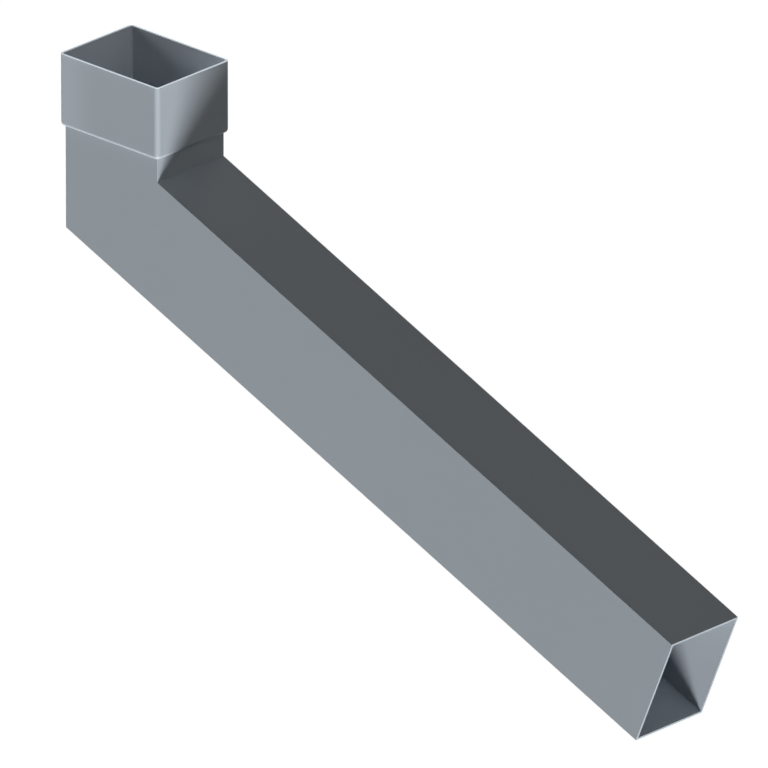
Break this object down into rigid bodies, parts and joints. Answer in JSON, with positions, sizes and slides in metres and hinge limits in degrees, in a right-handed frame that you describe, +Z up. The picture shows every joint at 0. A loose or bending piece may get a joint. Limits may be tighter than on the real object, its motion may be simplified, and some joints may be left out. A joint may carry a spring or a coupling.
{
  "type": "rectangular downspout elbow with a long leg",
  "caption": "Rectangular downpipe elbow: widened socket on a short upright inlet, a mitred bend, and a long sloping leg with a square-cut outlet.",
  "frame": {"origin": "middle of the socket's mouth, where the upper downpipe comes in", "axes": "+Z points up out of the socket along the upright inlet, +X is the way the leg falls away, and +Y is across the pipe"},
  "size_m": [0.6556, 0.082, 0.4021],
  "materials": {
    "powder_coat": "satin blue-grey polyester powder coat on aluminium, cut ends bare"
  },
  "bodies": {
    "root": {"elbow": "powder_coat"}
  },
  "joints": []
}
